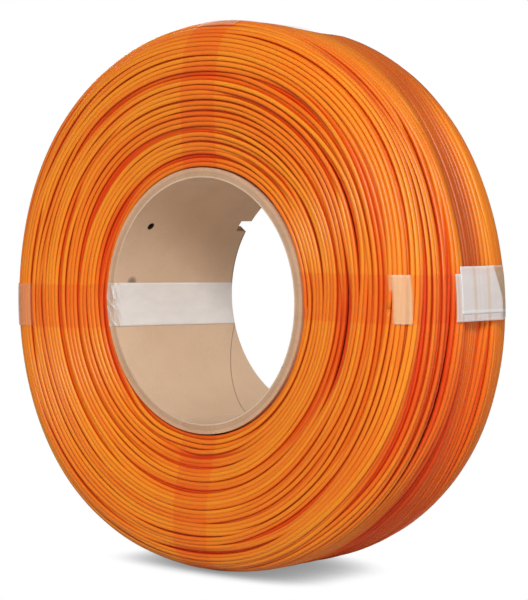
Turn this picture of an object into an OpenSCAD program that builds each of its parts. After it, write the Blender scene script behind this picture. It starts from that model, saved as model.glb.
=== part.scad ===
// Refill coil of printer filament: one strand wound on a bare cardboard core and
// held together by four bands of tape. It stands on its edge, on the lower band.
// The core's axis is Y, the front face looks along -Y, and +Z is up.
// The origin is the middle of the core's bore.

/* [Core] */
// Outside diameter of the cardboard core
core_od = 88; // [84:0.5:92]
// Wall of the core, all plies together
core_wall = 3.25; // [2.75:0.25:4]
// Length of the core, end to end
core_length = 60; // [56:1:64]
// Thickness of the inner ply
liner_t = 0.5; // [0.3:0.1:0.8]
// Thickness of the outer ply
wrap_t = 1.2; // [0.6:0.1:1.5]
// Width of the key notch in the rear end
notch_w = 4.6; // [4:0.2:8]
// Depth of the key notch, along the core
notch_depth = 5.4; // [4.8:0.2:6.4]
// Clock angle of the notch and of the anchor hole, from 3 o'clock upwards
key_angle = 143; // [135:1:150]
// Distance from the front end to the hole that takes the strand's inner end
anchor_inset = 9.7; // [8:0.1:14]

/* [Filament] */
// Diameter of the strand
strand_d = 1.75; // [1.5:0.05:1.9]
// Play between the strand's inner end and its hole, on the diameter
anchor_play = 0.45; // [0.2:0.05:0.6]
// How deep the strand's inner end lies below the bore wall
anchor_sink = 2.4; // [0.6:0.1:2.6]

/* [Coil] */
// Outside diameter of the coil, across the outer layer
coil_od = 184.6; // [176:0.2:190]
// How far the coil's front face stands past the core's front end
front_bulge = 5; // [2:0.5:6]
// Radius where the front face reaches that far
belly_r = 68; // [60:1:74]
// Rounding of the front edge
front_round = 12; // [10:0.5:13]
// Where the rear rounding starts, behind the middle of the core
crown_end = 2; // [0:0.5:5]
// Rounding of the rear edge
rear_round = 38; // [36:0.5:40]
// How far the coil's rear face stands past the core's rear end
rear_bulge = 0.5; // [0:0.25:1]
// Radius where the rear face starts to fall back towards the core
rear_belly_r = 58; // [54:1:66]
// How far the rear face lies inside the core's end, beside the core
rear_recess = 6.5; // [6.5:0.25:8]

/* [Outer layer] */
// Loops of the outer layer
loops = 24; // [16:1:24]
// Play between the outer layer and the layers under it
layer_play = 0.1; // [0.05:0.05:0.2]

/* [Tape] */
// Width of the tape
tape_w = 15; // [12:0.5:16]
// Thickness of the tape
tape_t = 0.1; // [0.06:0.01:0.12]
// Play between the tape and what it holds
tape_play = 0.05; // [0.03:0.01:0.08]
// How far the top band sits to the right of 12 o'clock
top_shift = 4; // [0:0.5:4]
// How far the right band sits above 3 o'clock
right_shift = 3; // [0:0.5:3.5]
// How far the left band sits below 9 o'clock
left_shift = 3; // [0:0.5:4]
// How far the end of the right band sits above the turn that it laps
lap_shift = 2; // [0:0.5:2.5]
// Where the lapped end starts, behind the middle of the core
lap_start = -8; // [-16:1:-2]
// Where the lapped end stops, behind the middle of the core
lap_end = 22; // [16:1:24]

/* [Hidden] */

KRAFT = [0.74, 0.62, 0.50];
BOARD = [0.66, 0.58, 0.50];
ORANGE = [0.93, 0.46, 0.16];
DEEP_ORANGE = [0.82, 0.36, 0.10];
FILM = [0.93, 0.88, 0.82, 0.6];

glue = 0.03;     // a glue line between plies, and between core and coil
round_fn = 96;
past = 1;        // how far a cutter runs past what it cuts

core_r = core_od / 2;
bore_r = core_r - core_wall;
half_length = core_length / 2;
coil_r = coil_od / 2;
front_y = -half_length - front_bulge;
rear_y = half_length + rear_bulge;

// The outer layer is a tube of 6 sides. Each loop has 24 straight runs that lie
// round the true circle, so the middle of each run is at the coil's own radius.
loop_rings = 24;
tube_sides = 6;
ring_step = 360 / loop_rings;
corner_reach = 1 / cos(ring_step / 2);

// Clock places of the four bands, in degrees from 3 o'clock
RIGHT = 0;
TOP = 90;
LEFT = 180;
BOTTOM = 270;

// The coil's skin, in the plane of radius and axis: a front edge, a level crown
// and a long rear edge. The lean is the tilt of the skin's normal from the
// radius, negative towards the front.
front_centre = [coil_r - front_round, front_y + front_round];
rear_centre = [coil_r - rear_round, crown_end];
first_lean = -60;                // lean at the first loop of the outer layer
front_lip = -72;                 // lean where the front face ends
edge_step = 5;                   // lean from one point of an edge to the next
full_rear_lean = asin((rear_y - crown_end) / rear_round);
rear_lip = full_rear_lean - 1.5; // lean where the rear face ends
last_lean = rear_lip - 3;        // lean at the last loop of the outer layer

function normal(lean) = [cos(lean), sin(lean)];
function front_skin(lean, sunk) = front_centre + (front_round - sunk) * normal(lean);
function rear_skin(lean, sunk) = rear_centre + (rear_round - sunk) * normal(lean);
function leans(from, to, count) = [for (i = [0:count]) from + (to - from) * i / count];
function fine_leans(from, to) = leans(from, to, ceil(abs(to - from) / edge_step));
function front_edge(from, to, sunk) = [for (lean = fine_leans(from, to)) front_skin(lean, sunk)];
function rear_edge(from, to, sunk) = [for (lean = fine_leans(from, to)) rear_skin(lean, sunk)];

// ---- The strand's way round the coil ----

strand_sunk = strand_d / 2;
front_run = (front_round - strand_sunk) * -first_lean * PI / 180;
crown_run = crown_end - front_centre[1];
rear_run = (rear_round - strand_sunk) * last_lean * PI / 180;
whole_run = front_run + crown_run + rear_run;

function lean_at(run) =
    run < front_run ? first_lean * (1 - run / front_run)
    : run < front_run + crown_run ? 0
    : last_lean * (run - front_run - crown_run) / rear_run;
function centre_at(run) =
    run < front_run ? front_skin(lean_at(run), strand_sunk)
    : run < front_run + crown_run ? [coil_r - strand_sunk, front_centre[1] + run - front_run]
    : rear_skin(lean_at(run), strand_sunk);

// The rings' angles: a start in the middle of a straight run, one ring at each
// corner, and an end in the middle of a straight run.
ring_angles = concat(
    [0],
    [for (i = [0:loops * loop_rings - 1]) (i + 0.5) * ring_step],
    [loops * 360]
);
last_ring = len(ring_angles) - 1;

function ring_reach(i) = i == 0 || i == last_ring ? 1 : corner_reach;
function turned(point, angle) = [point[0] * cos(angle), point[1], point[0] * sin(angle)];
function tube_ring(i) =
    let(
        angle = ring_angles[i],
        run = whole_run * angle / (loops * 360),
        lean = lean_at(run),
        centre = centre_at(run),
        out = [centre[0] * ring_reach(i), centre[1]]
    )
    [for (side = [0:tube_sides - 1])
        turned(out + strand_d / 2 * normal(lean + (side + 0.5) * 360 / tube_sides), angle)];

tube_rings = [for (i = [0:last_ring]) tube_ring(i)];

// The least gap from a loop to the next one, measured from corner to corner
loop_gaps = [
    for (i = [1:last_ring - 1 - loop_rings], a = tube_rings[i], b = tube_rings[i + loop_rings])
        norm(a - b)
];
echo(str("Least gap between loops of the outer layer: ", min(loop_gaps), " mm"));

module strand_tube() {
    walls = [
        for (i = [0:last_ring - 1], side = [0:tube_sides - 1])
            let(
                next = (side + 1) % tube_sides,
                a = i * tube_sides + side,
                b = i * tube_sides + next,
                c = a + tube_sides,
                d = b + tube_sides
            )
            each [[a, b, d], [a, d, c]]
    ];
    last = last_ring * tube_sides;
    ends = [
        for (side = [1:tube_sides - 2])
            each [[0, side + 1, side], [last, last + side, last + side + 1]]
    ];
    polyhedron(points = [for (ring = tube_rings) each ring], faces = concat(walls, ends));
}

// ---- Core ----

module lathe() {
    rotate([-90, 0, 0]) rotate_extrude($fn = round_fn) children();
}

module at_clock(angle) {
    rotate([0, -angle, 0]) children();
}

module key_notch() {
    at_clock(key_angle)
        translate([bore_r - past, half_length - notch_depth, -notch_w / 2])
            cube([core_wall + 2 * past, notch_depth + past, notch_w]);
}

module along_anchor(from, length, diameter) {
    at_clock(key_angle)
        translate([from, -half_length + anchor_inset, 0])
            rotate([0, 90, 0]) cylinder(h = length, d = diameter, $fn = round_fn);
}

module ply(inner, outer) {
    difference() {
        lathe() translate([inner, -half_length]) square([outer - inner, core_length]);
        key_notch();
        along_anchor(bore_r - past, core_wall + 2 * past, strand_d + anchor_play);
    }
}

module core_liner() {
    color(KRAFT) ply(bore_r, bore_r + liner_t);
}

module core_board() {
    color(BOARD) ply(bore_r + liner_t + glue, core_r - wrap_t - glue);
}

module core_wrap() {
    color(KRAFT) ply(core_r - wrap_t, core_r);
}

// ---- Filament ----

// The inner layers, with a step at each edge where the outer layer lies
module filament_pack() {
    seat = strand_d + layer_play;
    outline = concat(
        [[core_r + glue, -half_length], [belly_r, front_y]],
        front_edge(-90, front_lip, 0),
        front_edge(front_lip, 0, seat),
        rear_edge(0, rear_lip, seat),
        rear_edge(rear_lip, full_rear_lean, 0),
        [[rear_belly_r, rear_y], [core_r + glue, half_length - rear_recess]]
    );
    color(DEEP_ORANGE) lathe() polygon(outline);
}

module filament_outer_layer() {
    color(ORANGE) strand_tube();
}

// The strand's inner end, pushed into the anchor hole
module filament_start() {
    color(DEEP_ORANGE)
        along_anchor(bore_r + anchor_sink, core_wall - anchor_sink, strand_d);
}

// ---- Tape ----

// The coil's section grown by a distance, open towards the bore. A band is flat
// across its width, so where a face rises away from the core it lies as far
// inwards as lets its edges, at the given reach, clear that face.
function inwards(r, reach) = sqrt(r * r - reach * reach);
function section(grown, reach) = concat(
    [
        [0, -half_length - grown],
        [inwards(core_r, reach), -half_length - grown],
        [inwards(belly_r, reach), front_y - grown]
    ],
    front_edge(-90, 0, -grown),
    rear_edge(0, full_rear_lean, -grown),
    [
        [inwards(rear_belly_r, reach), rear_y + grown],
        [core_r, half_length + grown],
        [0, half_length + grown]
    ]
);

module skin_outside(from, thickness, reach) {
    difference() {
        polygon(section(from + thickness, reach));
        polygon(section(from, reach));
    }
}

// One turn of tape round the section, at 3 o'clock
module tape_turn(shift) {
    film_r = bore_r - tape_play - tape_t;
    full = core_length + 2 * (tape_play + tape_t);
    difference() {
        translate([0, 0, shift]) linear_extrude(tape_w, center = true)
            skin_outside(tape_play, tape_t, tape_w / 2 + abs(shift));
        lathe() translate([0, -full]) square([film_r, 2 * full]);
    }
    intersection() {
        lathe() translate([film_r, -full / 2]) square([tape_t, full]);
        translate([0, -full, shift - tape_w / 2]) cube([core_od, 2 * full, tape_w]);
    }
}

// The end of the strip, lapped over the start of its turn
module tape_lap(shift) {
    translate([0, 0, shift]) linear_extrude(tape_w, center = true) intersection() {
        skin_outside(tape_play + tape_t, tape_t, tape_w / 2 + shift);
        translate([core_r, lap_start]) square([coil_r, lap_end - lap_start]);
    }
}

module tape_top() {
    color(FILM) at_clock(TOP) tape_turn(-top_shift);
}

module tape_bottom() {
    color(FILM) at_clock(BOTTOM) tape_turn(0);
}

module tape_left() {
    color(FILM) at_clock(LEFT) tape_turn(left_shift);
}

module tape_right() {
    color(FILM) at_clock(RIGHT) {
        tape_turn(right_shift);
        tape_lap(right_shift + lap_shift);
    }
}

core_liner();
core_board();
core_wrap();
filament_pack();
filament_outer_layer();
filament_start();
tape_top();
tape_bottom();
tape_left();
tape_right();
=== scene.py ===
import math

import bpy
import numpy as np
from mathutils import Matrix, Vector


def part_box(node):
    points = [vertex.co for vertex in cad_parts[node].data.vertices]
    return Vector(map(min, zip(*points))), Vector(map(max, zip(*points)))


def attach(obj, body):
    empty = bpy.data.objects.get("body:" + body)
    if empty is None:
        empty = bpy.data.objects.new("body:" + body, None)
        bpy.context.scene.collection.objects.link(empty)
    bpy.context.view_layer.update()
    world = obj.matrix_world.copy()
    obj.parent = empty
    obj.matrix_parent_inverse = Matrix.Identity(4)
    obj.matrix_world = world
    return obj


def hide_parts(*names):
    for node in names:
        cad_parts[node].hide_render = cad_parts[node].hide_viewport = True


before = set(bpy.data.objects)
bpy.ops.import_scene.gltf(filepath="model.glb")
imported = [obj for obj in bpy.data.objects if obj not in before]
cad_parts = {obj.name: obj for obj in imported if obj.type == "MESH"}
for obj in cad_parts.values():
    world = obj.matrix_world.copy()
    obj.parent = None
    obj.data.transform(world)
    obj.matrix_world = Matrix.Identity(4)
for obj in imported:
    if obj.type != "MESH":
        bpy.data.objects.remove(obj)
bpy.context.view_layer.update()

# ---------------------------------------------------------------------------
# Camera. A long lens close to the height of the core's axis, well round to the
# right of the front face, so that the face, the bore and the outside show.
# ---------------------------------------------------------------------------
MM = 0.001
IMAGE_HEIGHT = 600
camera_round = math.radians(41.5566)
camera_above = math.radians(2.21246)
camera_roll = math.radians(0.10303)
camera_distance = 674.714 * MM
camera_focal_pixels = 1977.28
camera_centre_right = 3.287
camera_centre_down = -1.494

back = Vector((
    math.sin(camera_round) * math.cos(camera_above),
    -math.cos(camera_round) * math.cos(camera_above),
    math.sin(camera_above),
))
level_right = Vector((math.cos(camera_round), math.sin(camera_round), 0))
level_up = back.cross(level_right)
right = level_right * math.cos(camera_roll) + level_up * math.sin(camera_roll)
up = level_up * math.cos(camera_roll) - level_right * math.sin(camera_roll)

camera_data = bpy.data.cameras.new("camera")
camera_data.sensor_width = 36
camera_data.lens = camera_focal_pixels * camera_data.sensor_width / IMAGE_HEIGHT
camera_data.shift_x = camera_centre_right / IMAGE_HEIGHT
camera_data.shift_y = camera_centre_down / IMAGE_HEIGHT
camera = bpy.data.objects.new("camera", camera_data)
turned = Matrix((right, up, back)).transposed().to_4x4()
camera.matrix_world = Matrix.Translation(back * camera_distance) @ turned
bpy.context.scene.collection.objects.link(camera)
bpy.context.scene.camera = camera
bpy.context.scene.view_settings.view_transform = "Standard"

# ---------------------------------------------------------------------------
# Core: a cardboard tube wound spirally from plies of kraft paper and grey
# board. It is sawn square at both ends, with a notch at the rear for the
# hub's key and a small hole for the strand's inner end.
# ---------------------------------------------------------------------------
# Sizes are in mm. Clock angles are in degrees, from 3 o'clock by way of 12, seen
# from the front. Places along the core run from its middle towards the rear.
KRAFT = (0.76, 0.55, 0.38)
KRAFT_FIBRE = (0.70, 0.50, 0.34)
BOARD = (0.60, 0.38, 0.24)
BOARD_FIBRE = (0.51, 0.32, 0.20)
WRAP = (0.72, 0.44, 0.27)
WRAP_FIBRE = (0.62, 0.37, 0.22)
GLUE_LINE = (0.22, 0.15, 0.10)
PAINTED_HOLE_SHADE_AND_DARK_SPOT = (0.03, 0.02, 0.015)
fibre_scale = (900, 2600, 900)
fibre_relief = 0.08
mottle_scale = 90
ply_thickness = 0.4
sawn_skin = 0.01
seam_clock_at_middle = 263.0
seam_fall = 0.446  # along the core, for each degree of clock
seam_width = 0.35
core_wall = 3.25
hole_clock = 143.0
hole_along = -20.3
painted_hole_shade_radius = 1.25
dark_spot_clock = 173.0
dark_spot_along = -21.7
dark_spot_core = 0.6  # radius of its dark middle
dark_spot_edge = 2.7
dark_end_depth = 1.0
dark_end_start_clock = 133.2
dark_end_full_clock = 144.0
core_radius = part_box("core_wrap")[1].x / MM
core_half_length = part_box("core_wrap")[1].y / MM
bore_radius = core_radius - core_wall


class Value:
    """The output of a material's node. Arithmetic on it adds the Math nodes."""

    def __init__(self, finish, socket):
        self.finish = finish
        self.socket = socket

    def __add__(self, other):
        return self.finish.maths("ADD", self, other)

    def __radd__(self, other):
        return self.finish.maths("ADD", other, self)

    def __sub__(self, other):
        return self.finish.maths("SUBTRACT", self, other)

    def __rsub__(self, other):
        return self.finish.maths("SUBTRACT", other, self)

    def __mul__(self, other):
        return self.finish.maths("MULTIPLY", self, other)

    def __rmul__(self, other):
        return self.finish.maths("MULTIPLY", other, self)

    def __truediv__(self, other):
        return self.finish.maths("DIVIDE", self, other)

    def __abs__(self):
        return self.finish.maths("ABSOLUTE", self)

    def off_whole(self):
        """How far it lies from the nearest whole number."""
        return abs(self - self.finish.maths("ROUND", self))

    def between(self, low, high):
        """0 below low and 1 above high, with a smooth rise from one to the other."""
        return self.finish.node(
            "ShaderNodeMapRange", {"interpolation_type": "SMOOTHSTEP"},
            {"Value": self, "From Min": low, "From Max": high},
        )


class Finish:
    """A procedural material, or the world's surroundings, with one shader at its end."""

    def __init__(self, owner):
        owner.use_nodes = True
        self.owner = owner
        self.tree = owner.node_tree
        self.tree.nodes.clear()

    def node(self, kind, settings=None, sockets=None, output=0):
        """Adds a node, with its settings made first and its sockets given values or links."""
        node = self.tree.nodes.new(kind)
        for name, value in (settings or {}).items():
            setattr(node, name, value)
        for name, value in (sockets or {}).items():
            if isinstance(value, Value):
                self.tree.links.new(value.socket, node.inputs[name])
            else:
                node.inputs[name].default_value = value
        return Value(self, node.outputs[output]) if node.outputs else None

    def maths(self, operation, *values):
        return self.node("ShaderNodeMath", {"operation": operation}, dict(enumerate(values)))

    def place(self):
        return self.node("ShaderNodeTexCoord", output="Object")

    def parts(self, vector):
        split = self.node("ShaderNodeSeparateXYZ", None, {0: vector})
        return [Value(self, socket) for socket in split.socket.node.outputs]

    def stretch(self, vector, scale):
        return self.node("ShaderNodeVectorMath", {"operation": "MULTIPLY"}, {0: vector, 1: scale})

    def noise(self, vector, scale, detail):
        return self.node("ShaderNodeTexNoise", None, {"Vector": vector, "Scale": scale, "Detail": detail})

    def noted(self, name):
        """A number that the mesh holds for each of its points."""
        return self.node("ShaderNodeAttribute", {"attribute_name": name}, None, "Fac")

    def blend(self, share, first, second):
        """A colour, first where share is 0 and second where it is 1."""
        first, second = (c if isinstance(c, Value) else (*c, 1) for c in (first, second))
        return self.node("ShaderNodeMix", {"data_type": "RGBA"}, {0: share, 6: first, 7: second}, 2)

    def bump(self, height, depth, strength):
        sockets = {"Height": height, "Distance": depth, "Strength": strength}
        return self.node("ShaderNodeBump", None, sockets)

    def end(self, shader, kind="ShaderNodeOutputMaterial"):
        self.node(kind, None, {"Surface": shader})
        return self.owner


def round_place(finish):
    """Where a point is on a tube round the Y axis: radius, clock angle in turns, and place along."""
    x, y, z = finish.parts(finish.place())
    radius = finish.maths("SQRT", x * x + z * z)
    turn = finish.maths("ARCTAN2", z, x) / math.tau
    return radius, turn, y


def spot(finish, clock, middle, inner, outer):
    """1 within the inner radius of a place on the tube's wall, and 0 past the outer one."""
    x, y, z = finish.parts(finish.place())
    angle = math.radians(clock)
    beside = z * math.cos(angle) - x * math.sin(angle)
    off_axis = beside * beside + (y - middle * MM) * (y - middle * MM)
    facing = x * math.cos(angle) + z * math.sin(angle)
    return (1 - off_axis.between((inner * MM) ** 2, (outer * MM) ** 2)) * facing.between(0, MM)


def paper(name, colour, fibre, with_seam=False):
    """Matt paper with fine fibres, a faint mottle, and the edges of its plies where it is sawn."""
    finish = Finish(bpy.data.materials.new(name))
    place = finish.place()
    fibres = finish.noise(finish.stretch(place, fibre_scale), 1.0, 5.0)
    mottle = finish.noise(place, mottle_scale, 3.0)
    tone = finish.blend((0.5 * fibres + 0.5 * mottle).between(0.35, 0.7), colour, fibre)
    radius, turn, along = round_place(finish)
    plies = (radius - bore_radius * MM) / (ply_thickness * MM)
    ply_edge = 1 - plies.off_whole().between(0.05, 0.22)
    sawn = abs(along).between((core_half_length - 2 * sawn_skin) * MM, (core_half_length - sawn_skin) * MM)
    tone = finish.blend(0.35 * ply_edge * sawn, tone, GLUE_LINE)
    # The small hole is painted dark, as painted shade, and a dark spot shows past the left band of tape.
    hole = spot(finish, hole_clock, hole_along, painted_hole_shade_radius, 1.2 * painted_hole_shade_radius)
    tone = finish.blend(hole, tone, PAINTED_HOLE_SHADE_AND_DARK_SPOT)
    dark_spot = spot(finish, dark_spot_clock, dark_spot_along, dark_spot_core, dark_spot_edge)
    tone = finish.blend(0.6 * dark_spot, tone, PAINTED_HOLE_SHADE_AND_DARK_SPOT)
    # The rear end is darker on the left.
    at_end = along.between((core_half_length - dark_end_depth) * MM, core_half_length * MM)
    darkened_end = at_end * turn.between(dark_end_start_clock / 360, dark_end_full_clock / 360)
    tone = finish.blend(0.7 * darkened_end, tone, GLUE_LINE)
    height = fibres
    if with_seam:
        ahead = turn + 1 - seam_clock_at_middle / 360 + along / (seam_fall * 360 * MM)
        gap = ahead.off_whole() * (360 * seam_fall * MM)
        line = 1 - gap.between(0.0, seam_width * MM)
        tone = finish.blend(line * 0.7, tone, GLUE_LINE)
        height = height - 3 * line
    shader = finish.node("ShaderNodeBsdfPrincipled", None, {
        "Base Color": tone,
        "Roughness": 0.82,
        "Specular IOR Level": 0.25,
        "Normal": finish.bump(height, fibre_relief * MM, 0.6),
    })
    return finish.end(shader)


def give(node_name, material):
    """Puts a material on a solid that keeps its own shape."""
    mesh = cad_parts[node_name].data
    mesh.materials.clear()
    mesh.materials.append(material)


give("core_liner", paper("kraft_liner", KRAFT, KRAFT_FIBRE, with_seam=True))
give("core_board", paper("grey_board", BOARD, BOARD_FIBRE))
give("core_wrap", paper("kraft_wrap", WRAP, WRAP_FIBRE))

# ---------------------------------------------------------------------------
# Filament: one strand of extruded plastic, 1.75 mm thick, wound in layers that
# bulge past the core's ends because no flange holds them. The turns that show
# are laid one by one, and a second layer lies under them.
# ---------------------------------------------------------------------------
# A level is a place in mm along the winding's outline, from the core's front end
# over the front face, the crown and the rear face to the core's rear end.
STRAND = 1.75
TURN_PITCH = 1.64
SIDES = 8
UNDER_SIDES = 6
STEPS = 180  # points of the strand's path in each turn
crown_radius = 92.1
front_bulge = 5.0  # past the core's front end
belly_radius = 68.0  # from here on the front face bulges in full
front_round = 12.0
crown_end = 2.0  # where the crown starts to round off to the rear
rear_round = 38.0
rear_bulge = 0.5
rear_belly_radius = 58.0
rear_recess = 6.5  # from the core's rear end in to the foot of the rear face
face_level = 40  # the front face ends here
rear_side_level = 112  # the rear face starts here
hollow_depth = 2.6  # of the hollow behind the right band
sunk_depth = 1.15  # the most that a single turn sinks by chance, small dips aside
stood_apart = 0.9  # the most that chance adds to the spacing of two turns
drawn_together = 0.2  # what every spacing loses
end_dive = 1.8  # how far the strand's two ends go under
under_drop = 1.1  # from the turns that show to the layer below
under_tone = 0.4
patch_scale = 28
grain_scale = 900
grain_relief = 0.01
FILAMENT = (0.86, 0.19, 0.010)
FILAMENT_PALE = (0.90, 0.28, 0.015)
FILAMENT_PAINTED_SHADE = (0.76, 0.052, 0.001)
FILAMENT_PAINTED_FURROW_SHADE = (0.50, 0.036, 0.001)
FILAMENT_PAINTED_DULL_SHADE = (0.52, 0.088, 0.010)
lay = np.random.default_rng(175)


def arc(centre, radius, start, end, count=60):
    """Points on an arc between two angles in degrees."""
    angle = np.radians(np.linspace(start, end, count))
    return np.stack([centre[0] + radius * np.cos(angle), centre[1] + radius * np.sin(angle)], 1)


def wound_outline():
    """The outside of the winding, from the core's front end to its rear end: radius and place along."""
    front = -core_half_length - front_bulge
    rear = core_half_length + rear_bulge
    rear_lean = math.degrees(math.asin((rear - crown_end) / rear_round))
    corners = [
        [[core_radius, -core_half_length], [belly_radius, front]],
        arc((crown_radius - front_round, front + front_round), front_round, -90, 0),
        arc((crown_radius - rear_round, crown_end), rear_round, 0, rear_lean),
        [[rear_belly_radius, rear], [core_radius, core_half_length - rear_recess]],
    ]
    return np.concatenate([np.array(part, float) for part in corners])


def run_along(points):
    """How far each point lies along a path."""
    return np.concatenate([[0], np.cumsum(np.linalg.norm(np.diff(points, axis=0), axis=1))])


outline = wound_outline()
outline_level = run_along(outline)
level_grid = np.arange(0, outline_level[-1], 0.25)
grid_radius = np.interp(level_grid, outline_level, outline[:, 0])
grid_along = np.interp(level_grid, outline_level, outline[:, 1])
soften = np.hanning(17) / np.hanning(17).sum()
lean_radius = np.convolve(np.pad(np.gradient(grid_radius), 8, mode="edge"), soften, mode="valid")
lean_along = np.convolve(np.pad(np.gradient(grid_along), 8, mode="edge"), soften, mode="valid")
lean_length = np.hypot(lean_radius, lean_along)
grid_out_radius = lean_along / lean_length
grid_out_along = -lean_radius / lean_length


# How far the bands of tape have drawn the outside out of round, as waves round
# the coil: how many, then the cosine part and the sine part in mm.
WAVES = [(1, 0, 0.34), (2, 0, 0.13), (3, -0.3, -0.83), (4, -1.0, -0.3)]


def out_of_round(radius, clock):
    """The radius as the bands have drawn it: not at all at the core, and in full at the crown."""
    angle = np.radians(clock)
    drawn = sum(cosine * np.cos(n * angle) + sine * np.sin(n * angle) for n, cosine, sine in WAVES)
    return radius + drawn * np.clip((radius - core_radius) / (crown_radius - core_radius), 0, 1)


def on_clock(radius, along, clock):
    """The point at a radius, a place along the axis and a clock angle."""
    angle = np.radians(clock)
    return np.stack([radius * np.cos(angle), along + 0 * angle, radius * np.sin(angle)], -1)


def wound_place(level, clock, depth):
    """The point at a level along the outline and a clock angle, so deep below it, and the way out there."""
    radius = np.interp(level, level_grid, grid_radius)
    along = np.interp(level, level_grid, grid_along)
    out_radius = np.interp(level, level_grid, grid_out_radius)
    out_along = np.interp(level, level_grid, grid_out_along)
    place = on_clock(out_of_round(radius, clock) - out_radius * depth, along - out_along * depth, clock)
    return place, on_clock(out_radius, out_along, clock)


# Where winding tension pulled the turns sideways along the outline:
# clock angle, reach in degrees, level, reach in mm, and the pull in mm.
PULLS = [
    (322, 20, 26, 13, -3.0),
    (30, 22, 28, 14, 3.2),
    (310, 18, 50, 8, -4.0),
    (32, 20, 52, 9, 4.2),
    (302, 20, 65, 7, -7.0),
    (15, 32, 66, 8, 5.5),
    (215, 25, 32, 12, -1.8),
    (150, 22, 36, 8, -1.2),
    (270, 18, 15, 14, 0.9),
    (315, 25, 80, 6, -3.0),
    (20, 25, 82, 6, 2.2),
]


def degrees_from(clock, centre):
    """How many degrees a clock angle is ahead of another, -180 to 180."""
    return (np.asarray(clock) - centre + 180) % 360 - 180


def drift(level, clock):
    """How far the turns at a place have been pulled along the outline."""
    total = np.zeros(np.broadcast(level, clock).shape)
    for centre, reach, middle, spread, pull in PULLS:
        near = np.exp(-0.5 * (degrees_from(clock, centre) / reach) ** 2)
        total = total + pull * near * np.exp(-0.5 * ((level - middle) / spread) ** 2)
    return total


# Places where neighbouring turns parted or sank: clock angle and level of the
# deepest point, half its length in degrees, half its width in turns, how far
# the turns parted and how far they sank, in mm.
PARTINGS = [
    (92, 4.3, 40, 0.6, 1.0, 1.1),
    (150, 3.4, 50, 1.2, 1.2, 1.3),
    (205, 3.2, 60, 1.0, 0.9, 1.0),
    (80, 8.3, 40, 0.6, 0.5, 0.6),
    (270, 8.0, 45, 0.6, 0.5, 0.6),
    (262, 12.5, 45, 0.6, 0.6, 0.7),
    (35, 10.9, 40, 0.6, 0.4, 0.5),
    (145, 14.6, 60, 0.6, 0.9, 0.9),
    (265, 20.0, 45, 0.6, 0.9, 0.8),
    (320, 14.0, 30, 0.6, 0.6, 0.6),
    (352, 21.8, 35, 1.1, 1.6, 1.4),
    (80, 18.4, 30, 0.6, 0.5, 0.6),
    (30, 21.9, 30, 0.6, 0.4, 0.6),
    (45, 26.0, 40, 0.6, 0.5, 0.5),
    (120, 26.5, 25, 0.6, 0.6, 0.6),
    (122, 29.0, 20, 0.6, 0.5, 0.6),
    (25, 29.8, 30, 0.6, 0.8, 0.6),
    (322, 22.7, 45, 0.6, 0.5, 0.5),
    (56, 33.2, 18, 0.6, 0.9, 0.8),
    (150, 32.8, 25, 0.6, 0.8, 0.6),
    (300, 36.3, 40, 0.7, 1.2, 1.0),
    (25, 41.8, 30, 0.6, 0.6, 0.6),
    (215, 31.0, 40, 0.6, 0.6, 0.5),
    (275, 42.3, 30, 0.7, 0.9, 0.8),
    (140, 39.0, 22, 0.6, 0.7, 0.7),
    (340, 49.5, 50, 1.0, 1.4, 1.4),
    (342, 55.6, 45, 0.9, 0.3, 1.0),
    (52, 57.0, 30, 0.9, 0.9, 1.2),
    (22, 64.2, 20, 0.7, 0.9, 1.0),
    (348, 64.3, 35, 0.6, 0.9, 0.9),
    (332, 70.5, 45, 0.8, 1.5, 1.4),
]
# What a parting does to the turns beside it: the shares of both its depths that
# each takes, how many turns the push reaches, and how far the dip passes the gap.
push_share = 0.6
sink_share = 1.15
push_reach = 1.3
dip_margin = 0.35
first_level = 0.9
turn_count = int((outline_level[-1] - 2 * first_level) / TURN_PITCH)
spare_turns = 8


def level_of(turn):
    """The level at which a turn lies where nothing moves it."""
    return first_level + TURN_PITCH * turn


def partings(turn, clock):
    """How far a turn is pushed along the outline, and how far it sinks, where turns parted."""
    push = np.zeros(turn.shape)
    sink = np.zeros(turn.shape)
    for centre, level, half_length, half_width, parted, sunk in PARTINGS:
        gaps = np.arange(turn_count) + 0.5 + centre / 360
        gap_levels = level_of(gaps) + drift(level_of(gaps), centre)
        gap = gaps[np.argmin(abs(gap_levels - level))]
        ahead = degrees_from(clock, centre)
        beside = turn - gap - ahead / 360
        lasting = np.where(abs(ahead) < half_length, np.cos(0.5 * np.pi * ahead / half_length) ** 2, 0)
        push += np.sign(beside) * push_share * parted * np.exp(-(abs(beside) - 0.5) / push_reach) * lasting
        sink += sink_share * sunk * np.exp(-((abs(beside) / (half_width + dip_margin)) ** 2)) * lasting
    return push, sink


def eased(part):
    """A smooth rise from 0 to 1."""
    return part * part * (3 - 2 * part)


def wander(turn, degrees, size):
    """Slow random wander along the strand, with a new value every so many degrees."""
    knots = lay.normal(0, size, int((turn_count + 2 * spare_turns) * 360 / degrees) + 8)
    place = (turn + spare_turns) * 360 / degrees + 2
    whole = np.clip(np.floor(place).astype(int), 0, len(knots) - 2)
    part = eased(place - whole)
    return knots[whole] * (1 - part) + knots[whole + 1] * part


def shared_wander(level, clock, width, degrees, size):
    """Random wander that neighbouring turns share, over a patch so many mm by so many degrees."""
    across = int(outline_level[-1] / width) + 4
    around = int(360 / degrees)
    knots = lay.normal(0, size, (across, around))
    knots = np.concatenate([knots, knots[:, :1]], 1)
    row = np.clip(level / width + 1, 0, across - 2)
    column = (clock % 360) / 360 * around
    i = np.floor(row).astype(int)
    j = np.minimum(np.floor(column).astype(int), around - 1)
    a = eased(row - i)
    b = eased(column - j)
    return (
        (knots[i, j] * (1 - b) + knots[i, j + 1] * b) * (1 - a)
        + (knots[i + 1, j] * (1 - b) + knots[i + 1, j + 1] * b) * a
    )


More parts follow.
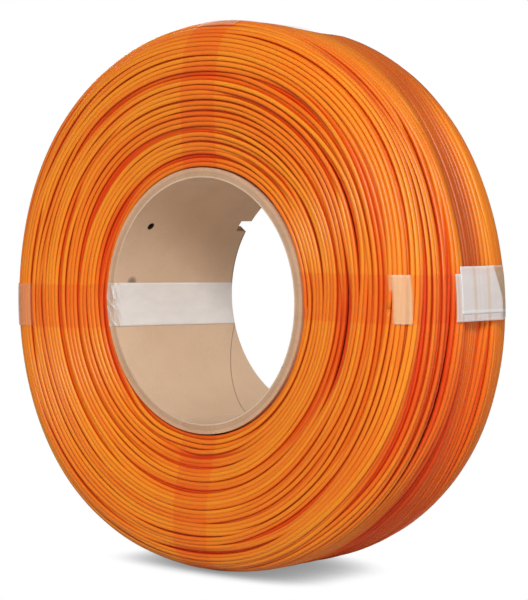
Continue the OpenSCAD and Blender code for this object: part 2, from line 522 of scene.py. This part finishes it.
def closing_up(turn, depth):
    """How far each turn lies off its even place, as turns close up over one that sinks or stand apart."""
    rows = turn_count + 2 * spare_turns
    seldom = np.clip(wander(turn, degrees=50, size=0.8) - 0.45, 0, 1)
    apart = stood_apart * eased(seldom) - drawn_together
    next_depth = np.concatenate([depth[STEPS:], depth[-STEPS:]])
    spacing = np.sqrt(np.maximum(STRAND ** 2 - (next_depth - depth) ** 2, (0.4 * STRAND) ** 2)) + apart
    spacing = spacing.reshape(rows, STEPS)
    first = spacing[0, 0] * np.arange(STEPS) / STEPS
    laid = first + np.concatenate([0 * spacing[:1], np.cumsum(spacing[:-1], axis=0)])
    slack = laid - TURN_PITCH * turn.reshape(rows, STEPS)
    weight = np.exp(-0.5 * (np.arange(-spare_turns, spare_turns + 1) / 3.5) ** 2)
    slow = sum(w * slack[j:j + turn_count] for j, w in enumerate(weight / weight.sum()))
    # Without the slow part, the turns stay evenly spread on the whole.
    local = slack[spare_turns:spare_turns + turn_count] - slow
    return np.pad(local, ((1, 1), (0, 0)), mode="edge").ravel()


def region(clock, level, middle, reach, height, width):
    """1 over a region of the winding, given by its middle and half its size, and 0 well past it."""
    return np.exp(-(degrees_from(clock, middle) / reach) ** 4) * np.exp(-((level - height) / width) ** 4)


# Hollows in the outside: clock angle and half the length in degrees, level and
# half the width in mm, and the depth in mm.
HOLLOWS = [
    (5, 42, 79, 6.5, hollow_depth),
    (79, 7, 84, 14, 1.2),
]


def lay_turns():
    """The strand's path over every turn that shows: turn number, clock angle, level, depth and hollow."""
    turn = np.arange((turn_count + 2 * spare_turns) * STEPS) / STEPS - spare_turns
    depth = sunk_depth * eased(np.clip(wander(turn, degrees=55, size=0.8) - 0.25, 0, 1))
    depth = depth + np.abs(wander(turn, degrees=35, size=0.06))
    slack = closing_up(turn, depth)
    kept = slice((spare_turns - 1) * STEPS, (spare_turns + turn_count + 1) * STEPS)
    turn = turn[kept]
    clock = (turn * 360) % 360
    level = level_of(turn) + slack
    level = level + drift(level, clock)
    push, sink = partings(turn, clock)
    level = level + push + shared_wander(level, clock, width=6, degrees=40, size=0.12)
    level = np.clip(level, first_level, outline_level[-1] - first_level)
    dips = np.maximum(shared_wander(level, clock, width=4.5, degrees=36, size=0.12), 0)
    depth = depth[kept] + sink + dips
    depth = depth + end_dive * np.sqrt(np.clip(-turn, 0, 1) + np.clip(turn - turn_count, 0, 1))
    hollow = sum(deep * region(clock, level, *extent) for *extent, deep in HOLLOWS)
    return turn, clock, level, depth, hollow


def tube(name, centre, outward, thickness, sides):
    """A closed round tube along a path, with outward giving which way is out at each point."""
    along = np.gradient(centre, axis=0)
    along /= np.linalg.norm(along, axis=1, keepdims=True)
    outward = outward - along * (outward * along).sum(1, keepdims=True)
    outward /= np.linalg.norm(outward, axis=1, keepdims=True)
    across = np.cross(along, outward)
    angle = np.arange(sides) * math.tau / sides
    ring = outward[:, None] * np.cos(angle)[None, :, None] + across[:, None] * np.sin(angle)[None, :, None]
    points = (centre[:, None] + ring * thickness / 2).reshape(-1, 3)
    count = len(centre)
    here = np.arange(count - 1)[:, None] * sides + np.arange(sides)[None]
    beside = np.arange(count - 1)[:, None] * sides + (np.arange(sides)[None] + 1) % sides
    quads = np.stack([here, beside, beside + sides, here + sides], -1).reshape(-1, 4)
    ends = [np.arange(sides)[::-1], (count - 1) * sides + np.arange(sides)]
    return solid(name, points, [quads, *(end[None] for end in ends)])


def solid(name, points, faces):
    """A smooth mesh from points in mm and arrays of faces, each array with its own number of corners."""
    loops = np.concatenate([part.ravel() for part in faces])
    corners = np.concatenate([np.full(len(part), part.shape[1]) for part in faces])
    mesh = bpy.data.meshes.new(name)
    mesh.vertices.add(len(points))
    mesh.vertices.foreach_set("co", (points * MM).ravel())
    mesh.loops.add(len(loops))
    mesh.loops.foreach_set("vertex_index", loops.astype(np.int32))
    mesh.polygons.add(len(corners))
    mesh.polygons.foreach_set("loop_start", (np.cumsum(corners) - corners).astype(np.int32))
    mesh.update(calc_edges=True)
    mesh.validate()
    mesh.shade_smooth()
    piece = bpy.data.objects.new(name, mesh)
    bpy.context.scene.collection.objects.link(piece)
    return piece


def note(piece, name, values):
    """Writes one number per point of a mesh, for its material to read."""
    attribute = piece.data.attributes.new(name, "FLOAT", "POINT")
    attribute.data.foreach_set("value", values.astype(np.float32))


def turned_aside(sides):
    """How far each side of a tube is turned from the outside, 0 to 1 at a quarter turn and beyond."""
    return np.clip(1 - np.cos(np.arange(sides) * math.tau / sides), 0, 1)


def filament():
    """Satin plastic. The tone drifts along the strand. Painted shade makes what lies deep or in a furrow a
    deeper red, and dulls the hollow and the upper right.
    """
    finish = Finish(bpy.data.materials.new("filament"))
    place = finish.place()
    patches = finish.noise(place, patch_scale, 2.0)
    paler = (0.8 * finish.noted("tone") + 0.6 * patches).between(0.4, 1.0)
    base = finish.blend(paler, FILAMENT, FILAMENT_PALE)
    # Painted shade: deep turns, the layer below and the lower right are painted a deeper red.
    base = finish.blend(finish.noted("deep").between(0.3, 2.0), base, FILAMENT_PAINTED_SHADE)
    # Painted shade: the hollow and the upper right are painted darker.
    base = finish.blend(finish.noted("painted_dull_shade"), base, FILAMENT_PAINTED_DULL_SHADE)
    # Painted shade in the furrows: the sides of each turn are painted dark red.
    base = finish.blend(finish.noted("painted_furrow_shade").between(0.25, 0.95), base, FILAMENT_PAINTED_FURROW_SHADE)
    grain = finish.noise(place, grain_scale, 3.0)
    shader = finish.node("ShaderNodeBsdfPrincipled", None, {
        "Base Color": base,
        "Subsurface Weight": 0.15,
        "Subsurface Radius": (1.0, 0.22, 0.04),
        "Subsurface Scale": 0.0012,
        "Roughness": 0.28 + 0.12 * grain,
        "IOR": 1.46,
        "Specular IOR Level": 0.35,
        "Normal": finish.bump(grain, grain_relief * MM, 0.4),
    })
    return finish.end(shader)


filament_finish = filament()
turn, clock, level, depth, hollow = lay_turns()
centre, outward = wound_place(level, clock, depth + hollow + STRAND / 2)
tone = np.clip(0.5 + wander(turn, degrees=120, size=0.25), 0, 1)
# Painted shade: the turns at the lower right are painted a deeper red. The painted shade in the
# furrows is weaker on the crown. More painted shade dulls the turns at the upper right,
# and in the hollow above 3 o'clock.
painted_shade_lower_right = 1.25 * region(clock, level, 318, 48, 76, 19)
painted_furrow_share = 1 - 0.7 * eased(np.clip((level - 58) / 14, 0, 1))
painted_dull_share = hollow / hollow_depth * np.clip(0.5 + degrees_from(clock, 0) / 12, 0, 1)
painted_dull_share = painted_dull_share + 0.7 * region(clock, level, 60, 17, 83, 15)
face_turns = round(face_level / TURN_PITCH)
rear_turns = round(rear_side_level / TURN_PITCH)
shares = {
    "filament_front_side": (0, face_turns),
    "filament_outside": (face_turns, rear_turns),
    "filament_rear_side": (rear_turns, turn_count + 2),
}
strand_pieces = []
for name, (begin, last) in shares.items():
    part = slice(begin * STEPS, last * STEPS + 1)  # the path starts one turn before turn 0
    piece = tube(name, centre[part], outward[part], STRAND, SIDES)
    note(piece, "tone", np.repeat(tone[part], SIDES))
    # Painted shade: the deeper a turn lies, the deeper red it is painted, more so at the lower right.
    note(piece, "deep", np.repeat((depth + painted_shade_lower_right)[part], SIDES))
    # Painted shade in the hollow and at the upper right.
    note(piece, "painted_dull_shade", np.repeat(painted_dull_share[part], SIDES))
    # Painted shade in the furrows, on the sides of each turn, weaker on the crown.
    note(piece, "painted_furrow_shade", (turned_aside(SIDES) * painted_furrow_share[part, None]).ravel())
    strand_pieces.append(piece)

# The layer below, in the furrows between the turns above it.
every = slice(None, None, 2)
near = slice(None, -STEPS)
far = slice(STEPS, None)
furrow = (level[near] + level[far]) / 2
lesser = np.minimum(depth[near], depth[far])
greater = np.maximum(depth[near], depth[far])
below = 0.6 * lesser + 0.1 * greater + under_drop
under_depth = below + hollow[near] + STRAND / 2
under_centre, under_outward = wound_place(furrow[every], clock[near][every], under_depth[every])
under = tube("filament_under_layer", under_centre, under_outward, STRAND, UNDER_SIDES)
note(under, "tone", np.full(len(under.data.vertices), under_tone))
# Painted shade: the layer below is painted a deeper red, by how deep it lies.
note(under, "deep", np.repeat(below[every], UNDER_SIDES))
# Painted shade in the furrows of the layer below, on the sides of each turn.
note(under, "painted_furrow_shade", np.tile(turned_aside(UNDER_SIDES), len(under_centre)))
strand_pieces.append(under)
for piece in strand_pieces:
    piece.data.materials.append(filament_finish)
    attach(piece, "root")
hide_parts("filament_pack")
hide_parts("filament_outer_layer")
give("filament_start", filament_finish)

# ---------------------------------------------------------------------------
# Tape: four bands of thin film, each one turn through the bore and round the
# winding. Stuck down, the film only deepens the colour below it. Where it
# stands off, it turns milky. The end of the right band laps over its start.
# ---------------------------------------------------------------------------
FILM_MILKY = (1.0, 0.975, 0.95)
FILM_CREAM = (1.0, 0.76, 0.43)
FILM_BARE = (0.995, 0.99, 0.98, 1)
FILM_WETTED = (0.99, 0.93, 0.93, 1)
ripple_scale = (260, 120, 260)
ripple_relief = 0.4
film_width = 15.0
film_thickness = 0.06
film_clear = 0.08
rim_clear = film_clear + 0.04
film_step = 0.5
film_columns = 21
# Width of the painted highlight along the film's edges.
glint_edge_width = 0.5
least_cover = 0.008
most_cover = 0.98
# Places along a band are in mm of run from the winding's front foot, where the
# outline starts. On the core's front rim and in the bore the run is below 0.
rim_run = -core_wall
bore_run = rim_run - 2 * core_half_length
window_start = 41.3  # the right band bridges two turns here, as a small cream window
window_end = 47.2
right_lift_start = 66.4
lap_start = 69.2
lap_end = 101
taut_start = 80.6  # where the right band leaves the crown
crease_run = 90.6
crease_slope = 0.35
right_shift = 2.9  # how far the right band lies to one side
lap_lean = 2.3  # how much further its lapped end does
left_pale_start = 34.5
left_lift_start = 41
left_milky_start = 45.3
left_lift_end = 60
top_lift_start = 48.6
top_lift_end = 66
rear_lift_length = 16


def band_path():
    """The closed loop that a band follows: run, radius, place along, and the way out in both."""
    inner = bore_radius - rim_clear
    end = core_half_length + rim_clear
    bore_wall = [[inner, end], [inner, -end]]
    rear_rim = [[core_radius, end], [inner, end]]
    corners = np.concatenate([bore_wall, outline[:-1], rear_rim])
    reach = run_along(corners)
    count = round(reach[-1] / film_step)
    run = np.arange(count) * reach[-1] / count
    radius, along = (np.interp(run, reach, corners[:, axis]) for axis in (0, 1))
    radius, along = ((np.roll(v, 1) + v + np.roll(v, -1)) / 3 for v in (radius, along))
    lean = [np.roll(v, -2) - np.roll(v, 2) for v in (radius, along)]
    length = np.hypot(*lean)
    return run - reach[2], radius, along, lean[1] / length, -lean[0] / length


def ramp(value, low, high):
    """0 up to low and 1 from high on, with a smooth rise between them."""
    return eased(np.clip((value - low) / (high - low), 0, 1))


def patch(run, start, end, edge=0.4):
    """1 from start to end along the band, and 0 past its edges."""
    return ramp(run, start - edge / 2, start + edge / 2) * (1 - ramp(run, end - edge / 2, end + edge / 2))


def shell_faces(rows, closed):
    """The faces of a thin shell with its outer points first, in rows across the band."""
    index = np.arange(rows * film_columns).reshape(rows, film_columns)
    index = np.concatenate([index, index[:1]]) if closed else index
    below = rows * film_columns
    a, b, c, d = index[:-1, :-1], index[:-1, 1:], index[1:, 1:], index[1:, :-1]
    outer = np.stack([a, b, c, d], -1).reshape(-1, 4)
    inner = np.stack([d, c, b, a], -1).reshape(-1, 4) + below
    rims = [index[:, 0], index[::-1, -1]]
    if not closed:
        rims += [index[0, ::-1], index[-1, :]]
    edges = [np.stack([rim[:-1], rim[1:], rim[1:] + below, rim[:-1] + below], -1) for rim in rims]
    return np.concatenate([outer, inner, *edges])


def film(name, clock, shift, cover, height, cut_at=None):
    """A thin closed shell of film, a whole turn or a length of it cut at two runs.

    Three functions give how far it lies to one side at a run, and how milky and how
    high it is at a run and a distance across.
    """
    path = band_path()
    if cut_at:
        kept = (path[0] >= cut_at[0]) & (path[0] <= cut_at[1])
        path = [values[kept] for values in path]
    run, radius, along, out_radius, out_along = path
    across = np.linspace(-film_width / 2, film_width / 2, film_columns)
    run_at, across_at = np.meshgrid(run, across, indexing="ij")
    middle = shift(run)[:, None]
    angle = clock + np.degrees(np.arcsin((across_at + middle) / radius[:, None]))
    on_winding = ramp(run_at, -0.5, 1.0)
    points = []
    for wall in (film_thickness, 0):
        lifted = height(run_at, across_at) + wall + film_clear * on_winding
        points.append(on_clock(
            out_of_round(radius[:, None], angle) + out_radius[:, None] * lifted,
            along[:, None] + out_along[:, None] * lifted, angle,
        ).reshape(-1, 3))
    piece = solid(name, np.concatenate(points), [shell_faces(len(run), cut_at is None)])
    milky = np.clip(cover(run_at, across_at), 0, most_cover)
    # Painted highlight: the film is painted milkier along its edges, as a glint on its cut edges.
    painted_edge_glint = abs(across_at) > film_width / 2 - glint_edge_width
    milky = np.where(painted_edge_glint, np.minimum(1.25 * milky, most_cover), milky)
    # The shell has two walls, so each gets the share that makes the whole as milky as this.
    note(piece, "milky", np.tile(1 - np.sqrt(1 - milky.ravel()), 2))
    note(piece, "on_strand", np.tile(patch(run_at, 0, outline_level[-1], 1.0).ravel(), 2))
    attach(piece, "root")
    return piece


def tape_film():
    """Clear film. Where it stands off it turns milky, by the share noted in the mesh: cream, then white."""
    finish = Finish(bpy.data.materials.new("tape_film"))
    milky = finish.noted("milky")
    on_strand = finish.noted("on_strand")
    ripple = finish.noise(finish.stretch(finish.place(), ripple_scale), 1.0, 3.0)
    bare = finish.node("ShaderNodeBsdfTransparent", None, {"Color": FILM_BARE})
    wetted = finish.node("ShaderNodeBsdfTransparent", None, {"Color": FILM_WETTED})
    clear = finish.node("ShaderNodeMixShader", None, {0: on_strand, 1: bare, 2: wetted})
    white = finish.node("ShaderNodeBsdfPrincipled", None, {
        "Base Color": finish.blend((milky + 1 - on_strand).between(0.4, 0.56), FILM_CREAM, FILM_MILKY),
        "Roughness": 0.35,
        "Specular IOR Level": 0.25,
        "Normal": finish.bump(ripple, ripple_relief * MM, 0.35),
    })
    share = milky * (0.9 + 0.2 * ripple)
    return finish.end(finish.node("ShaderNodeMixShader", None, {0: share, 1: clear, 2: white}))


def over_turns(run, size):
    """Soft streaks where the film touches the turns below it, some stronger than others."""
    streak = 0.5 + 0.5 * np.sin(run * math.tau / (1.7 * TURN_PITCH) + 1.5 * np.sin(0.55 * run))
    return size * streak * (0.55 + 0.45 * np.sin(0.83 * run + 1))


def crease_at(across):
    """The run of the crease where the right band is pulled taut past the crown."""
    return crease_run - crease_slope * np.maximum(across, -1)


def crumple(run, across):
    """Small slanting folds, -1 to 1."""
    return np.sin(1.25 * across + 1.9 * run + 1.2 * np.sin(0.8 * across))


def rear_cover(run):
    """All bands stand off the rear side, near the core, alike."""
    return 0.35 * patch(run, outline_level[-2], outline_level[-2] + rear_lift_length, 1.5)


def right_cover(run, across):
    bore = 0.12 * patch(run, bore_run, rim_run + 0.3)
    window = (0.62 - over_turns(run, 0.12)) * patch(run, window_start, window_end)
    tab = 0.3 * patch(run, window_start - 1.3, window_start) * ramp(across, 2.5, 3.0)
    lifted = (0.81 - over_turns(run, 0.10)) * patch(run, right_lift_start, rear_side_level)
    return least_cover + bore + window + tab + lifted + rear_cover(run)


def lap_cover(run, across):
    past = ramp(run - crease_at(across + lap_lean), -0.3, 0.3)
    # Painted highlight: the lap's cut edges, at its start and along one side, are painted milkier.
    cut = patch(run, lap_start - 0.2, lap_start + 0.7) + (across < 1 - film_width / 2)
    streaks = over_turns(run, 0.07) * ramp(run, 73, 76) * (1 - past)
    return 0.80 + 0.15 * cut - streaks - 0.12 * past


def left_cover(run, across):
    end = rim_run - 0.2 - 0.1 * (across + film_width / 2)
    bore = 0.97 * patch(run, bore_run - 2, end, 0.8)
    # On the rim the film stands off and is a little milky; the brighter streaks along its folds are painted
    # glints.
    loose_haze_and_painted_glints = (0.22 + 0.6 * np.clip(crumple(run, across), 0, 1) ** 4) * patch(run, end, 0, 0.6)
    pale = 0.3 * patch(run, left_pale_start, rear_side_level, 2.5) * (0.8 + over_turns(run, 0.3))
    pale = pale + 0.14 * patch(run, left_lift_start, left_lift_end)
    pale = pale + 0.2 * patch(run, left_milky_start, left_lift_end)
    return least_cover + bore + loose_haze_and_painted_glints + pale + rear_cover(run)


def top_cover(run, across):
    bore = 0.12 * patch(run, bore_run, rim_run)
    lifted = 0.35 * patch(run + 0.05 * across, top_lift_start, top_lift_end, 1.0)
    return least_cover + bore + lifted + rear_cover(run)


def bottom_cover(run, across):
    return least_cover + 0.1 * patch(run, bore_run, rim_run) + rear_cover(run)


def taut(run, start, end, radius):
    """The height of a film that leaves a round at one run and meets it at another, creased between."""
    nearer = np.minimum(run - start, end - run)
    return np.where((run > start) & (run < end), nearer ** 2 / (2 * radius), 0)


def right_height(run, across):
    window = 0.25 * patch(run, window_start, window_end, 1.5)
    return window + taut(run, taut_start, 2 * crease_at(across) - taut_start, rear_round)


def lap_height(run, across):
    return film_clear + right_height(run, across + lap_lean)


def left_height(run, across):
    near_rim = np.exp(-((run - rim_run) / 2.2) ** 2)
    crumpled = 0.7 * near_rim * (0.5 + 0.5 * crumple(run, across))
    return crumpled + 0.15 * patch(run, left_lift_start, left_lift_end, 3)


def flat_height(run, across):
    return 0 * run


def steady(shift):
    """A band that lies this far to one side all the way."""
    return lambda run: shift + 0 * run


def left_slant(run):
    """The left band slants in the bore."""
    return np.interp(run, [bore_run, rim_run, 10, 150, 170], [3.5, 2.35, 3.3, 3.3, 3.5])


def top_lean(run):
    """The top band leans to one side over the winding."""
    return np.interp(run, [-20, 0, 50, 100, 150, 170], [0, 0.3, -6.3, -6.3, 0, 0])


film_finish = tape_film()
bands = {
    "tape_right": film("film_right", 0, steady(right_shift), right_cover, right_height),
    "tape_top": film("film_top", 90, top_lean, top_cover, flat_height),
    "tape_left": film("film_left", 180, left_slant, left_cover, left_height),
    "tape_bottom": film("film_bottom", 270, steady(0), bottom_cover, flat_height),
}
for node_name, piece in bands.items():
    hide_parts(node_name)
lap_shift = steady(right_shift + lap_lean)
lap = film("film_right_lap", 0, lap_shift, lap_cover, lap_height, (lap_start, lap_end))
for piece in [*bands.values(), lap]:
    piece.data.materials.append(film_finish)

# ---------------------------------------------------------------------------
# Floor and light: a white table under a large soft window, with a weaker light
# from the side and one from behind. The surroundings look white, and light the
# coil a little from all round.
# ---------------------------------------------------------------------------
WHITE = (1, 1, 1, 1)
TABLE = (0.66, 0.66, 0.66, 1)
SHADOW = (0.24, 0.24, 0.24, 1)
shadow_reach = 13.5
table_half_size = 6.0
air_strength = 0.25
lowest = min(vertex.co.z for vertex in bands["tape_bottom"].data.vertices)


def seen(finish):
    """1 for the rays that show the surroundings straight to the camera."""
    return finish.node("ShaderNodeLightPath", output="Is Camera Ray")


def table_top():
    """A white table. It is seen white, with a soft grey shadow close to where the coil stands."""
    finish = Finish(bpy.data.materials.new("table"))
    plain = finish.node("ShaderNodeBsdfDiffuse", None, {"Color": TABLE})
    white = finish.node("ShaderNodeEmission", None, {"Color": WHITE, "Strength": 1.0})
    dark = finish.node("ShaderNodeEmission", None, {"Color": SHADOW, "Strength": 1.0})
    reach = {"Distance": shadow_reach * MM}
    open_air = finish.node("ShaderNodeAmbientOcclusion", {"samples": 16}, reach, "AO")
    shade = finish.node("ShaderNodeMixShader", None, {0: open_air.between(-0.1, 0.7), 1: dark, 2: white})
    return finish.end(finish.node("ShaderNodeMixShader", None, {0: seen(finish), 1: plain, 2: shade}))


floor_mesh = bpy.data.meshes.new("table")
corner_signs = [(-1, -1), (1, -1), (1, 1), (-1, 1)]
floor_mesh.from_pydata(
    [(x * table_half_size, y * table_half_size, lowest) for x, y in corner_signs], [], [(0, 1, 2, 3)],
)
floor_mesh.materials.append(table_top())
table = bpy.data.objects.new("table", floor_mesh)
bpy.context.scene.collection.objects.link(table)


def lamp(name, place, size, power):
    """A round soft lamp that faces the middle of the coil: place and size in metres, power in watts."""
    data = bpy.data.lights.new(name, "AREA")
    data.shape = "DISK"
    data.size = size
    data.energy = power
    light = bpy.data.objects.new(name, data)
    light.location = place
    light.rotation_euler = (-Vector(place)).to_track_quat("-Z", "Y").to_euler()
    bpy.context.scene.collection.objects.link(light)


lamp("window", (0.76, -1.02, 0.68), 0.5, 15.6)
lamp("side", (1.35, -0.10, 0.05), 0.5, 2.3)
lamp("back", (-1.20, 0.75, 0.60), 0.6, 4.8)

room = Finish(bpy.data.worlds.new("room"))
air = room.node("ShaderNodeBackground", None, {"Color": WHITE, "Strength": air_strength})
backdrop = room.node("ShaderNodeBackground", None, {"Color": WHITE, "Strength": 1.0})
surroundings = room.node("ShaderNodeMixShader", None, {0: seen(room), 1: air, 2: backdrop})
bpy.context.scene.world = room.end(surroundings, "ShaderNodeOutputWorld")
